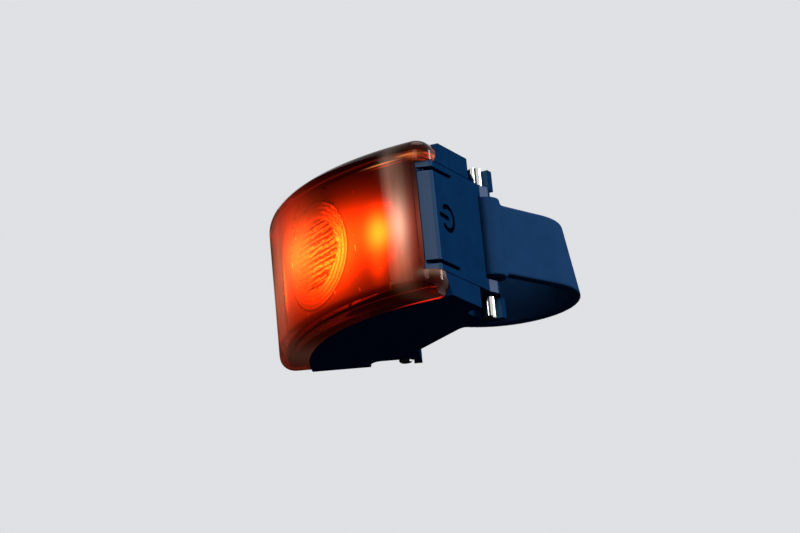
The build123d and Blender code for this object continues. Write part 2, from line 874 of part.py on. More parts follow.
with BuildPart() as side_led_left:
    add(led(-side_optic_at, side_optic_height, side_led_size))
side_led_left.part.label = "side_led_left"

# LED board, and the light sensor below the main LED
with BuildPart() as led_board:
    with BuildSketch(across(led_board_y)):
        Rectangle(2 * led_board_half_width, 2 * board_half_height)
    extrude(amount=-board_thickness)
    add(screw_holes(led_board_y, board_thickness), mode=Mode.SUBTRACT)
led_board.part.label = "led_board"

with BuildPart() as light_sensor:
    with BuildSketch(across(led_board_y)):
        with Locations((0, -sensor_drop)):
            Rectangle(sensor_size, sensor_size)
    extrude(amount=sensor_height)
    chamfer(light_sensor.faces().sort_by(Axis.Y)[0].edges(), led_space)
light_sensor.part.label = "light_sensor"

# Control board with its chip, on spacers behind the LED board
with BuildPart() as control_board:
    with BuildSketch(across(control_y)):
        Rectangle(2 * control_half_width, 2 * board_half_height)
    extrude(amount=-board_thickness)
    add(screw_holes(control_y, board_thickness), mode=Mode.SUBTRACT)
control_board.part.label = "control_board"

with BuildPart() as control_chip:
    with BuildSketch(across(control_y)):
        with Locations((-chip_across, 0)):
            Rectangle(chip_size, chip_size)
    extrude(amount=chip_height)
control_chip.part.label = "control_chip"

with BuildPart() as board_spacers:
    with BuildSketch(across(control_y)):
        with Locations(*boss_points):
            Circle(boss_radius)
            Circle(screw_radius + screw_fit, mode=Mode.SUBTRACT)
    extrude(amount=board_gap)
board_spacers.part.label = "board_spacers"

# Board screws: through tray, LED board, spacer and control board into the bosses
screw_stack = boss_y - tray_y
with BuildPart() as board_screws:
    with BuildSketch(across(tray_y)):
        with Locations(*boss_points):
            Circle(screw_head_radius)
    extrude(amount=screw_head_height)
    with BuildSketch(across(tray_y)):
        with Locations(*boss_points):
            Circle(screw_radius)
    extrude(amount=-(screw_stack + screw_grip))
board_screws.part.label = "board_screws"

# Rechargeable cell against the back wall, and its two tabs to the control board
cell_back = front_y + cavity_back - cell_space
with BuildPart() as battery_cell:
    with BuildSketch(across(cell_back)):
        Rectangle(2 * cell_half_width, 2 * cell_half_height)
    extrude(amount=cell_thickness)
    fillet(battery_cell.edges().filter_by(Axis.X), cell_corner)
battery_cell.part.label = "battery_cell"

with BuildPart() as cell_tabs:
    with BuildSketch(across(boss_y)):
        with Locations((-cell_tab_across, cell_tab_up), (cell_tab_across, cell_tab_up)):
            Rectangle(cell_tab_width, cell_tab_sheet)
    extrude(amount=-(cell_back - cell_thickness - boss_y))
cell_tabs.part.label = "cell_tabs"


def side_disc(inner, outer, radius):
    """Disc behind the button, between two depths below the side face."""
    with BuildPart() as disc:
        with BuildSketch(right_plane(-inner)):
            with Locations((button_at, 0)):
                Circle(radius)
        extrude(amount=inner - outer)
    return disc.part


# Switch behind the button: rubber boot, plunger, body and upright board
with BuildPart() as switch_boot:
    add(side_disc(plunger_top, boot_top, boot_radius))
    fillet(switch_boot.edges().sort_by(Axis.X)[-1], boot_thickness / 3)
switch_boot.part.label = "switch_boot"

with BuildPart() as switch_plunger:
    add(side_disc(plunger_top + plunger_length, plunger_top, plunger_radius))
switch_plunger.part.label = "switch_plunger"

with BuildPart() as switch_body:
    add(side_prism(right_plane(-switch_back), button_at - switch_size / 2, button_at + switch_size / 2,
                   switch_size / 2, switch_height))
    add(side_disc(switch_top + switch_bore_depth, switch_top, plunger_radius + plunger_fit),
        mode=Mode.SUBTRACT)
switch_body.part.label = "switch_body"

with BuildPart() as switch_board:
    add(side_prism(right_plane(-switch_back - carrier_thickness), button_at - carrier_half_width,
                   button_at + carrier_half_width, switch_size / 2 + carrier_margin, carrier_thickness))
switch_board.part.label = "switch_board"

# Charging port: drawn shell with a tongue, on its own upright board
with BuildPart() as charging_port:
    add(port_prism(-port_top, 0, port_depth))
    add(port_prism(-port_top, port_shell, port_depth - port_base), mode=Mode.SUBTRACT)
    with BuildSketch(left_plane(-port_back + port_base)):
        with Locations((port_at, 0)):
            Rectangle(port_tongue_thickness, port_tongue_height)
    extrude(amount=port_depth - port_base - port_tongue_setback)
charging_port.part.label = "charging_port"

with BuildPart() as port_board:
    add(side_prism(left_plane(-port_back - carrier_thickness), port_at - carrier_half_width,
                   port_at + carrier_half_width, port_height / 2 + carrier_margin, carrier_thickness))
port_board.part.label = "port_board"

pieces = [lens_cover, lens_seal, housing, saddle_pad, side_panel_right, button_tongue,
          side_panel_left, port_flap, strap_pin_right, strap_pin_left, strap, reflector_tray,
          main_optic, side_optic_right, side_optic_left, main_led, side_led_right, side_led_left,
          led_board, light_sensor, control_board, control_chip, board_spacers, board_screws,
          battery_cell, cell_tabs, switch_boot, switch_plunger, switch_body, switch_board,
          charging_port, port_board]
os.makedirs("parts", exist_ok=True)
for piece in pieces:
    export_step(piece.part, f"parts/{piece.part.label}.step")
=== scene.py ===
"""Looks of the bicycle tail light: materials, soft parts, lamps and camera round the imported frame."""
import json
import math

import bmesh
import bpy
from mathutils import Matrix, Vector


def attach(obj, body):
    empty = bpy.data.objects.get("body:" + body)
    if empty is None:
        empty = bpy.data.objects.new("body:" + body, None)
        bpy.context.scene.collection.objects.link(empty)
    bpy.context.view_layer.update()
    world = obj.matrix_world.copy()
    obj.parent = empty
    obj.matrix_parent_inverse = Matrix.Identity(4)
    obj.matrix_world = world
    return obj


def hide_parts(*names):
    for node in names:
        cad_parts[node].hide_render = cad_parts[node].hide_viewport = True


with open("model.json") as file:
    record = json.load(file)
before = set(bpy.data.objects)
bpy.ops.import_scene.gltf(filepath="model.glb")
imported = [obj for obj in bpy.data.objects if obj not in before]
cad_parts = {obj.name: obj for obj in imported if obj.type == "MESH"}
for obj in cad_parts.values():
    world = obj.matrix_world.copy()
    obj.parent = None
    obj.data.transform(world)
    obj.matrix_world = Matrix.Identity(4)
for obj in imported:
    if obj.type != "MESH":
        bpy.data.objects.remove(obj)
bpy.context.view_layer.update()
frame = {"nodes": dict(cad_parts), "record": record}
nodes = frame["nodes"]
slots = {row["node"]: row["material_slot"] for row in frame["record"]["subparts"]}
MM = 0.001

# Measures that the looks share with the solids: two angles, then lengths in millimetres
TAPER = math.radians(29.7)
LEAN = math.radians(11.0)
HALF_WIDTH = 28.5
FACE_TO_POST = 31.35
FRONT_REACH = 12.0
LENS_RADIUS = 50.0
LENS_CENTRE_Y = LENS_RADIUS - FACE_TO_POST - FRONT_REACH
PIN_ALONG = 22.57
PIN_SINK = 2.05
POST_RADIUS = 13.6
STRAP_THICKNESS = 2.2
LOOP_RADIUS = 3.5


def side_xy(along, out=0.0):
    """Plan point beside the right side face, in millimetres."""
    return (HALF_WIDTH - along * math.sin(TAPER) + out * math.cos(TAPER),
            -FACE_TO_POST + along * math.cos(TAPER) + out * math.sin(TAPER))


PIN = side_xy(PIN_ALONG, -PIN_SINK)


# Node trees


class Tree:
    """A node tree that is written as nested calls."""

    def __init__(self, data):
        self.nodes = data.nodes
        self.links = data.links

    def plug(self, socket, value):
        """Links a socket to another one, or sets its value."""
        if isinstance(value, bpy.types.NodeSocket):
            self.links.new(value, socket)
        elif isinstance(value, (tuple, list)) and len(value) == 3 and socket.type == "RGBA":
            socket.default_value = (*value, 1.0)
        else:
            socket.default_value = value

    def add(self, kind, inputs=None, out=0, **settings):
        """Adds a node with its inputs and settings, and gives one of its outputs."""
        node = self.nodes.new(kind)
        for name, value in settings.items():
            setattr(node, name, value)
        for key, value in (inputs or {}).items():
            self.plug(node.inputs[key], value)
        return node.outputs[out]

    def math(self, operation, a, b=0.0):
        return self.add("ShaderNodeMath", {0: a, 1: b}, operation=operation)

    def plus(self, a, b):
        return self.math("ADD", a, b)

    def minus(self, a, b):
        return self.math("SUBTRACT", a, b)

    def times(self, a, b):
        return self.math("MULTIPLY", a, b)

    def length(self, a, b):
        """Length of the plane vector (a, b)."""
        return self.math("SQRT", self.plus(self.math("POWER", a, 2.0), self.math("POWER", b, 2.0)))

    def vector(self, operation, a, b, out="Vector"):
        return self.add("ShaderNodeVectorMath", {0: a, 1: b}, out, operation=operation)

    def dot(self, a, b):
        return self.vector("DOT_PRODUCT", a, b, "Value")

    def scale(self, vector, factor):
        return self.add("ShaderNodeVectorMath", {0: vector, 3: factor}, operation="SCALE")

    def here(self):
        """Place on the object, in metres."""
        return self.add("ShaderNodeTexCoord", out="Object")

    def split(self, vector):
        node = self.nodes.new("ShaderNodeSeparateXYZ")
        self.plug(node.inputs[0], vector)
        return node.outputs

    def noise(self, vector, scale, detail=2.0, roughness=0.5, squeeze=None):
        """Noise, finer along the axes where squeeze is larger."""
        if squeeze:
            vector = self.vector("MULTIPLY", vector, squeeze)
        return self.add("ShaderNodeTexNoise", {"Vector": vector, "Scale": scale, "Detail": detail,
                                               "Roughness": roughness})

    def spread(self, value, low, high, to_low=0.0, to_high=1.0, smooth=False):
        """Value mapped from low..high to to_low..to_high, and held there outside."""
        return self.add("ShaderNodeMapRange",
                        {"Value": value, "From Min": low, "From Max": high, "To Min": to_low,
                         "To Max": to_high},
                        interpolation_type="SMOOTHSTEP" if smooth else "LINEAR")

    def vary(self, noise, low, high):
        """From low to high with a noise, most of whose values lie between 0.3 and 0.7."""
        return self.spread(noise, 0.3, 0.7, low, high)

    def fade(self, value, start, end, to_low=0.0, to_high=1.0):
        """From to_low at start to to_high at end, both places in millimetres, with soft ends."""
        return self.spread(value, start * MM, end * MM, to_low, to_high, smooth=True)

    def ramp(self, value, start, end):
        """From 0 at start to 1 at end, both in millimetres, in a straight line."""
        return self.spread(value, start * MM, end * MM)

    def mix(self, factor, a, b):
        """Colour a where factor is 0 and b where it is 1. The node's colour sockets are 6, 7 and 2."""
        node = self.nodes.new("ShaderNodeMix")
        node.data_type = "RGBA"
        self.plug(node.inputs[0], factor)
        self.plug(node.inputs[6], a)
        self.plug(node.inputs[7], b)
        return node.outputs[2]

    def bump(self, height, strength, distance, normal=None):
        """Fine relief, distance in millimetres."""
        inputs = {"Height": height, "Strength": strength, "Distance": distance * MM}
        if normal is not None:
            inputs["Normal"] = normal
        return self.add("ShaderNodeBump", inputs)


def new_material(name):
    """Material with one Principled shader, as material, tree and shader."""
    material = bpy.data.materials.new(name)
    material.use_nodes = True
    tree = Tree(material.node_tree)
    tree.nodes.clear()
    shader = tree.nodes.new("ShaderNodeBsdfPrincipled")
    output = tree.nodes.new("ShaderNodeOutputMaterial")
    tree.links.new(shader.outputs[0], output.inputs[0])
    return material, tree, shader


# Places and directions on the light, as nodes


def from_panel_edge(tree, here):
    """Distances across and back from the front edge of a side panel, and up or down from mid-height."""
    x, y, z = tree.split(here)
    return (tree.minus(tree.math("ABSOLUTE", x), HALF_WIDTH * MM), tree.plus(y, FACE_TO_POST * MM),
            tree.math("ABSOLUTE", z))


def along_panel(tree, across, back):
    """Distance along the panel's face from its front edge."""
    return tree.minus(tree.times(back, math.cos(TAPER)), tree.times(across, math.sin(TAPER)))


def out_of_panel(tree, across, back):
    """Distance out of the panel's face."""
    return tree.plus(tree.times(across, math.cos(TAPER)), tree.times(back, math.sin(TAPER)))


def facing(tree, direction, wide, narrow, normal="True Normal"):
    """1 where a face looks along direction on the right side or its mirror on the left, else 0.

    wide and narrow are the cosines of the angle from it at which this starts and is full.
    """
    x, y, z = tree.split(tree.add("ShaderNodeNewGeometry", out=normal))
    folded = tree.nodes.new("ShaderNodeCombineXYZ")
    for socket, value in zip(folded.inputs, (tree.math("ABSOLUTE", x), y, z)):
        tree.plug(socket, value)
    return tree.spread(tree.dot(folded.outputs[0], direction), wide, narrow, smooth=True)


def both_ends(*rows):
    """Spots at the right end of the lens, and the same at its left end."""
    return rows + tuple((-across, *rest) for across, *rest in rows)


# Soft spots of painted light by place: across and up, spread across and up in millimetres, strength
SPOTS = {
    "led_glow": ((-4.0, 1.2, 6.0, 4.0, 6.0), (-9.5, 3.5, 5.0, 3.5, 2.0), (3.0, -2.5, 5.5, 4.5, 6.0),
                 (8.5, -1.5, 3.2, 5.0, 3.0), (13.0, 0.0, 4.5, 4.5, 2.0), (17.4, -6.5, 1.6, 3.0, 1.2),
                 (2.0, -1.5, 20.0, 6.6, 1.2), (0.0, -3.0, 26.0, 9.0, 0.3),
                 *both_ends((18.1, -0.9, 2.4, 3.1, 18.0))),
    "lens_painted_glow": ((-4.5, 2.0, 7.5, 6.0, 0.45), (-14.0, 1.0, 12.0, 11.0, 0.04),
                  *both_ends((26.6, 12.0, 1.6, 0.25, 0.6), (22.0, 11.5, 2.6, 0.14, 0.9),
                             (23.8, -8.5, 1.9, 3.5, 0.22), (27.6, 11.7, 0.75, 0.6, 0.25))),
    "cream_painted_highlights": ((24.7, -0.5, 1.7, 8.5, 0.15), (23.2, 11.5, 1.5, 3.0, 0.07), (22.9, 1.0, 0.9, 8.0, 0.12),
                    (-16.0, 0.0, 6.5, 12.0, 0.085),
                    *both_ends((24.2, -1.2, 1.3, 4.6, 0.52), (28.3, -11.3, 1.5, 0.75, 0.1))),
    "rim_painted_glow": ((-7.0, 9.5, 7.5, 4.0, 0.22), *both_ends((28.3, -15.3, 0.8, 0.32, 0.8))),
    "seam_painted_glow": ((23.0, -15.3, 4.0, 0.15, 0.9),),
}


def spots_group(name):
    """Intensity of painted light at a point: a sum of soft spots, level in depth."""
    group = bpy.data.node_groups.new(name, "ShaderNodeTree")
    group.interface.new_socket("Intensity", in_out="OUTPUT", socket_type="NodeSocketFloat")
    tree = Tree(group)
    here = tree.here()
    total = 0.0
    for across, up, wide, tall, strength in SPOTS[name]:
        away = tree.vector("SUBTRACT", here, (across * MM, 0.0, up * MM))
        spans = tree.vector("MULTIPLY", away, (1 / (wide * MM), 0.0, 1 / (tall * MM)))
        bell = tree.math("EXPONENT", tree.times(tree.dot(spans, spans), -1.0))
        total = tree.plus(tree.times(bell, strength), total)
    end = tree.nodes.new("NodeGroupOutput")
    tree.plug(end.inputs[0], total)
    return group


groups = {name: spots_group(name) for name in SPOTS}


def spots(tree, name):
    """Intensity of one group of spots at the shaded point."""
    group = tree.nodes.new("ShaderNodeGroup")
    group.node_tree = groups[name]
    return group.outputs[0]


# Materials


# How closely a face has to look along a facet's direction for its painted sheen, as facing takes it
SHEEN_TURN = (0.988, 0.997)
MOTTLE_SCALE = 260


def moulded(name, colour, roughness, specular, grain=6600, grain_depth=0.006, mottle=0.1, soft_edge=0.0,
            painted_sheen=(), details=None):
    """Moulded plastic or rubber: fine grain, faint mottling, a painted sheen on some facets and softened
    edges.
    """
    material, tree, shader = new_material(name)
    here = tree.here()
    fine = tree.noise(here, grain)
    broad = tree.noise(here, MOTTLE_SCALE, 3)
    tint = tree.scale(colour, tree.vary(broad, 1 - mottle, 1 + mottle))
    for direction, lighter in painted_sheen:
        tint = tree.mix(facing(tree, direction, *SHEEN_TURN), tint, lighter)
    if details:
        tint = details(tree, here, tint)
    tree.plug(shader.inputs["Base Color"], tint)
    tree.plug(shader.inputs["Roughness"], tree.vary(fine, roughness - 0.05, roughness + 0.05))
    shader.inputs["Specular IOR Level"].default_value = specular
    softened = tree.add("ShaderNodeBevel", {"Radius": soft_edge * MM}) if soft_edge else None
    tree.plug(shader.inputs["Normal"], tree.bump(fine, 0.35, grain_depth, softened))
    return material


LINE_SHADE = 0.86


def metal(name, colour, roughness, line_scale=(900, 900, 9000), depth=0.002, reflection_bands=()):
    """Metal with fine drawn or ground lines, and painted reflections as darker bands where a face looks a
    given way.
    """
    material, tree, shader = new_material(name)
    lines = tree.noise(tree.here(), 1.0, 3, squeeze=line_scale)
    tint = tree.mix(tree.spread(lines, 0.35, 0.65), colour, tuple(c * LINE_SHADE for c in colour))
    for direction, wide, narrow, darker in reflection_bands:
        tint = tree.mix(facing(tree, direction, wide, narrow, "Normal"), tint, darker)
    tree.plug(shader.inputs["Base Color"], tint)
    shader.inputs["Metallic"].default_value = 1.0
    tree.plug(shader.inputs["Roughness"], tree.vary(lines, roughness * 0.7, roughness * 1.3))
    tree.plug(shader.inputs["Normal"], tree.bump(lines, 0.3, depth))
    return material


GLOW_TINT = (1.0, 0.6, 0.15)
GLOW_GAIN = 2.8


def painted_glow(name, colour, roughness=0.4, pattern=None):
    """Material of a piece behind the lens, with the LEDs' light painted on it as a glow."""
    material, tree, shader = new_material(name)
    here = tree.here()
    level = tree.times(spots(tree, "led_glow"), GLOW_GAIN)
    if pattern:
        level = tree.times(level, pattern(tree, here))
    grain = tree.noise(here, 2400)
    tree.plug(shader.inputs["Base Color"], tree.scale(colour, tree.vary(grain, 0.9, 1.1)))
    shader.inputs["Roughness"].default_value = roughness
    shader.inputs["Specular IOR Level"].default_value = 0.0
    tree.plug(shader.inputs["Emission Color"], GLOW_TINT)
    tree.plug(shader.inputs["Emission Strength"], level)
    tree.plug(shader.inputs["Normal"], tree.bump(grain, 0.2, 0.02))
    return material


# Painted light of the main optic as it shows through the lens, in millimetres: the pitch of its level ribs
# and that of the hoops in its ring, where the ribs end, where the ring starts and ends, how far across the
# ribs and the ring stay dim on the left, and the dark line outside the ring
RIB_PITCH = 1.12
HOOP_PITCH = 0.95
RIBS_END = (7.5, 6.7)
RING_START = (6.7, 7.5)
RING_END = (10.7, 10.3)
RIBS_DIM = (-5.0, -1.0)
RING_DIM = (0.5, 5.0)
LINE_RADIUS, LINE_WIDTH = 10.75, 0.35


def waves(tree, place, pitch, sway):
    """Sine waves along a place, swayed by some radians."""
    return tree.math("SINE", tree.plus(tree.times(place, 2 * math.pi / (pitch * MM)), sway))


def window(tree, here):
    """Painted light through the main optic: fine ribs with sparkle inside a bright ring, a dark line
    outside, and bright specks.
    """
    x, _, z = tree.split(here)
    sparkle = tree.noise(here, 1.0, 3, 0.6, squeeze=(1500, 1500, 3200))
    sway = tree.noise(here, 1.0, squeeze=(350, 350, 700))
    reach = tree.length(x, z)

    ribs = waves(tree, z, RIB_PITCH, tree.times(sway, 5.0))
    ribs = tree.times(tree.spread(ribs, -0.8, 0.8, 0.22, 1.45, smooth=True),
                      tree.spread(sparkle, 0.35, 0.7, 0.45, 1.75))
    core = tree.times(tree.fade(reach, *RIBS_END), tree.fade(x, *RIBS_DIM, 0.3))
    level = tree.plus(1.0, tree.times(core, tree.minus(ribs, 1.0)))

    hoops = waves(tree, reach, HOOP_PITCH, tree.times(sway, 4.0))
    hoops = tree.times(tree.spread(hoops, -1.0, 1.0, 0.2, 1.8), tree.vary(sparkle, 0.6, 1.6))
    ring = tree.times(tree.fade(reach, *RING_START), tree.fade(reach, *RING_END))
    ring = tree.times(ring, tree.fade(x, *RING_DIM, 0.15, 1.15))
    level = tree.plus(level, tree.times(ring, hoops))

    line = tree.math("ABSOLUTE", tree.minus(reach, LINE_RADIUS * MM))
    level = tree.times(level, tree.fade(line, 0.0, LINE_WIDTH, 0.45))
    dash = tree.noise(here, 1.0, 1, squeeze=(1100, 1100, 600))
    return tree.plus(level, tree.spread(dash, 0.74, 0.78, 0.0, 3.0))


LENS_RED = (0.36, 0.018, 0.0036)
RIM_RED = (0.09, 0.003, 0.0015)
# Tints of the light painted into the lens: glow and glints, cream highlights, glow along the rims, and a
# faint red glow everywhere
PAINTED_GLOW_TINT = (1.0, 0.24, 0.055)
CREAM_HIGHLIGHT_TINT = (1.0, 0.75, 0.52)
RIM_GLOW_TINT = (1.0, 0.02, 0.01)
FAINT_GLOW_RED = (0.006, 0.0004, 0.0002)
# In millimetres: where the lens gets darker red across and up, and the seam along its underside, from
# the axis of its curve
DARKER_ACROSS = (23.0, 23.8)
DARKER_UP = (11.4, 12.6)
SEAM_REACH = (LENS_RADIUS - 5.0, LENS_RADIUS - 5.3)


def red_lens():
    """Clear red moulding, darker red towards its edges, with the LEDs' glow, glints and cream highlights
    painted into it.
    """
    material, tree, shader = new_material("red_lens")
    here = tree.here()
    x, y, z = tree.split(here)
    edge = tree.math("MAXIMUM", tree.fade(tree.math("ABSOLUTE", x), *DARKER_ACROSS),
                     tree.fade(tree.math("ABSOLUTE", z), *DARKER_UP))
    tree.plug(shader.inputs["Base Color"], tree.mix(edge, LENS_RED, RIM_RED))
    shader.inputs["Transmission Weight"].default_value = 1.0
    shader.inputs["IOR"].default_value = 1.22
    streak = tree.noise(here, 1.0, 4, 0.6, squeeze=(180, 180, 1400))
    tree.plug(shader.inputs["Roughness"], tree.vary(streak, 0.015, 0.05))
    shader.inputs["Specular IOR Level"].default_value = 0.5
    shader.inputs["Specular Tint"].default_value = (1.0, 0.45, 0.35, 1)

    # Painted light: glow along the rims and the seam of the underside, glow and glints in the wall, cream
    # highlights
    reach = tree.length(x, tree.minus(y, LENS_CENTRE_Y * MM))
    seam = tree.ramp(reach, *SEAM_REACH)
    rim_glow = tree.plus(spots(tree, "rim_painted_glow"), tree.times(spots(tree, "seam_painted_glow"), seam))
    glow = tree.vector("ADD", tree.scale(PAINTED_GLOW_TINT, spots(tree, "lens_painted_glow")),
                       tree.scale(CREAM_HIGHLIGHT_TINT, spots(tree, "cream_painted_highlights")))
    glow = tree.vector("ADD", glow, tree.scale(RIM_GLOW_TINT, rim_glow))
    tree.plug(shader.inputs["Emission Color"], tree.vector("ADD", glow, FAINT_GLOW_RED))
    shader.inputs["Emission Strength"].default_value = 1.0
    tree.plug(shader.inputs["Normal"], tree.bump(tree.noise(here, 130), 0.15, 0.05))
    return material


# Painted lines of the blue pieces, in millimetres: a painted highlight along the kink, painted shade in
# the seams, on the floor of the power symbol and in the silicone's valley. Each pair says where a line
# starts and where it is full
KINK_HIGHLIGHT_BLUE = (0.033, 0.078, 0.16)
KINK_REACH = (0.6, 0.4)
SEAM_SHADE_BLUE = (0.0008, 0.004, 0.014)
SEAM_RADIUS = 0.2
SEAM_HEIGHT = (9.3, 9.9)
GROOVE_SHADE_BLUE = (0.0006, 0.003, 0.010)
GROOVE_OUT, GROOVE_HEIGHT, GROOVE_ALONG = (-0.04, -0.16), (3.8, 3.5), (0.9, 1.2)
VALLEY_SHADE_BLUE = (0.0012, 0.006, 0.02)
LOOP_FRONT = PIN_ALONG - LOOP_RADIUS
VALLEY_FRONT = (LOOP_FRONT - 1.2, LOOP_FRONT - 0.9)
VALLEY_REAR = (LOOP_FRONT + 0.9, LOOP_FRONT + 0.1)


def shell_details(tree, here, tint):
    """Painted light and shade on the blue shell: a painted highlight along the kink of the side panels,
    painted shade in the seams and on the floor of the power symbol.
    """
    across, back, height = from_panel_edge(tree, here)
    # Painted highlight along the kink of the side panels
    tint = tree.mix(tree.ramp(tree.length(across, back), *KINK_REACH), tint, KINK_HIGHLIGHT_BLUE)

    # Painted shade in the seams
    bevelled = tree.add("ShaderNodeBevel", {"Radius": SEAM_RADIUS * MM})
    plain = tree.add("ShaderNodeNewGeometry", out="True Normal")
    seam = tree.times(tree.spread(tree.dot(bevelled, plain), 0.998, 0.975, 0.0, 0.8),
                      tree.ramp(height, *SEAM_HEIGHT))
    tint = tree.mix(seam, tint, SEAM_SHADE_BLUE)

    # Painted shade on the floor of the power symbol
    low = tree.times(tree.ramp(out_of_panel(tree, across, back), *GROOVE_OUT),
                     tree.ramp(height, *GROOVE_HEIGHT))
    low = tree.times(low, tree.ramp(along_panel(tree, across, back), *GROOVE_ALONG))
    return tree.mix(low, tint, GROOVE_SHADE_BLUE)


def loop_shade(tree, here, tint):
    """Painted shade in the valley of the silicone where its loop meets the ear of the side panel."""
    across, back, _ = from_panel_edge(tree, here)
    along = along_panel(tree, across, back)
    valley_shade = tree.times(tree.fade(along, *VALLEY_REAR, 0.0, 0.92), tree.ramp(along, *VALLEY_FRONT))
    return tree.mix(valley_shade, tint, VALLEY_SHADE_BLUE)


BLUE = (0.0034, 0.029, 0.092)
SILICONE = (0.0125, 0.048, 0.130)
OPTIC_BASE = (0.05, 0.03, 0.025)
# Faces with a painted sheen that stands in for the light they catch, and their colours: the bevelled strips
# beside the lens, the facets on the pin ears and the ends of the slots
SHEEN_FACETS = (((0.816, -0.578, 0.0), (0.060, 0.096, 0.172)),
         ((0.958, 0.287, 0.0), (0.105, 0.145, 0.24)),
         ((0.495, -0.869, 0.0), (0.018, 0.06, 0.125)))
# Painted reflections on the pins, a dark stripe and a grey side that stand in for the dark shell and strap
# mirrored beside them: direction, the two cosines that facing takes, and colour
PIN_REFLECTIONS = (((0.875, -0.485, 0.0), 0.984, 0.993, (0.02, 0.02, 0.02)),
             ((0.18, -0.98, 0.0), 0.86, 0.95, (0.30, 0.31, 0.26)))
materials = {
    "red_lens": red_lens(),
    "blue_plastic": moulded("blue_plastic", BLUE, 0.42, 0.0, soft_edge=0.18, painted_sheen=SHEEN_FACETS,
                            details=shell_details),
    "blue_rubber": moulded("blue_rubber", SILICONE, 0.62, 0.0, grain=5200, grain_depth=0.01, mottle=0.07,
                           details=loop_shade),
    "black_rubber": moulded("black_rubber", (0.012, 0.012, 0.014), 0.6, 0.05, grain=4200, grain_depth=0.02),
    "pin_steel": metal("pin_steel", (0.90, 0.90, 0.86), 0.09, line_scale=(20, 20, 4000), depth=0.0001,
                       reflection_bands=PIN_REFLECTIONS),
    "white_plastic": painted_glow("white_plastic", OPTIC_BASE, pattern=window),
    "clear_optic": painted_glow("clear_optic", OPTIC_BASE, 0.2, pattern=window),
    "led_package": painted_glow("led_package", (0.5, 0.3, 0.1)),
    "circuit_board": moulded("circuit_board", (0.012, 0.09, 0.035), 0.4, 0.3, grain=1800, grain_depth=0.03),
    "black_plastic": moulded("black_plastic", (0.012, 0.012, 0.012), 0.45, 0.3),
    "spacer_brass": metal("spacer_brass", (0.62, 0.45, 0.17), 0.25),
    "screw_steel": metal("screw_steel", (0.55, 0.55, 0.56), 0.3),
    "cell_sleeve": moulded("cell_sleeve", (0.38, 0.39, 0.41), 0.3, 0.5, grain=900, grain_depth=0.05),
    "tab_nickel": metal("tab_nickel", (0.66, 0.65, 0.62), 0.22),
    "port_steel": metal("port_steel", (0.6, 0.6, 0.6), 0.24),
}


def coat(obj, material):
    """Gives obj one material."""
    obj.data.materials.clear()
    obj.data.materials.append(material)


def paint(obj, slot):
    """Gives obj the finish of a material slot of the record."""
    coat(obj, materials[slot])


for name, obj in nodes.items():
    coat(obj, materials[slots[name]])


# Meshes in millimetres


def mesh_object(name, bm):
    """Object from a mesh in millimetres, in metres, with smooth faces."""
    bmesh.ops.recalc_face_normals(bm, faces=bm.faces)
    bmesh.ops.scale(bm, vec=(MM, MM, MM), verts=bm.verts)
    data = bpy.data.meshes.new(name)
    bm.to_mesh(data)
    bm.free()
    for face in data.polygons:
        face.use_smooth = True
    obj = bpy.data.objects.new(name, data)
    bpy.context.scene.collection.objects.link(obj)
    return obj


def closed_body(bm, first, last):
    """Closed body between two outlines with the same number of points."""
    first = [bm.verts.new(point) for point in first]
    last = [bm.verts.new(point) for point in last]
    bm.faces.new(first)
    bm.faces.new(last)
    for i in range(len(first)):
        j = (i + 1) % len(first)
        bm.faces.new((first[i], first[j], last[j], last[i]))


def prism(bm, outline, low, high):
    """Closed prism over a plan outline."""
    closed_body(bm, [(x, y, low) for x, y in outline], [(x, y, high) for x, y in outline])


def circle(centre, radius, steps=96):
    turns = [2 * math.pi * i / steps for i in range(steps)]
    return [(centre[0] + radius * math.cos(a), centre[1] + radius * math.sin(a)) for a in turns]


def apply_modifiers(obj):
    """Replaces the mesh by its modified form."""
    graph = bpy.context.evaluated_depsgraph_get()
    graph.update()
    data = bpy.data.meshes.new_from_object(obj.evaluated_get(graph))
    old = obj.data
    obj.modifiers.clear()
    obj.data = data
    bpy.data.meshes.remove(old)
    for face in data.polygons:
        face.use_smooth = True


def remesh(obj, voxel, rounds):
    """One skin over overlapping solids, with its edges rounded."""
    skin = obj.modifiers.new("skin", "REMESH")
    skin.mode = "VOXEL"
    skin.voxel_size = voxel * MM
    relax = obj.modifiers.new("relax", "SMOOTH")
    relax.factor = 0.5
    relax.iterations = rounds
    apply_modifiers(obj)


def cut(obj, bm):
    """Subtracts a mesh in millimetres from an object."""
    cutter = mesh_object("cutter", bm)
    step = obj.modifiers.new("cut", "BOOLEAN")
    step.operation = "DIFFERENCE"
    step.solver = "EXACT"
    step.object = cutter
    apply_modifiers(obj)
    bpy.data.objects.remove(cutter)


def copy_of(node, name):
    """A copy of a CAD node's mesh, joined into a closed skin."""
    bm = bmesh.new()
    bm.from_mesh(nodes[node].data)
    bmesh.ops.remove_doubles(bm, verts=bm.verts, dist=0.001 * MM)
    bmesh.ops.scale(bm, vec=(1 / MM, 1 / MM, 1 / MM), verts=bm.verts)
    return mesh_object(name, bm)


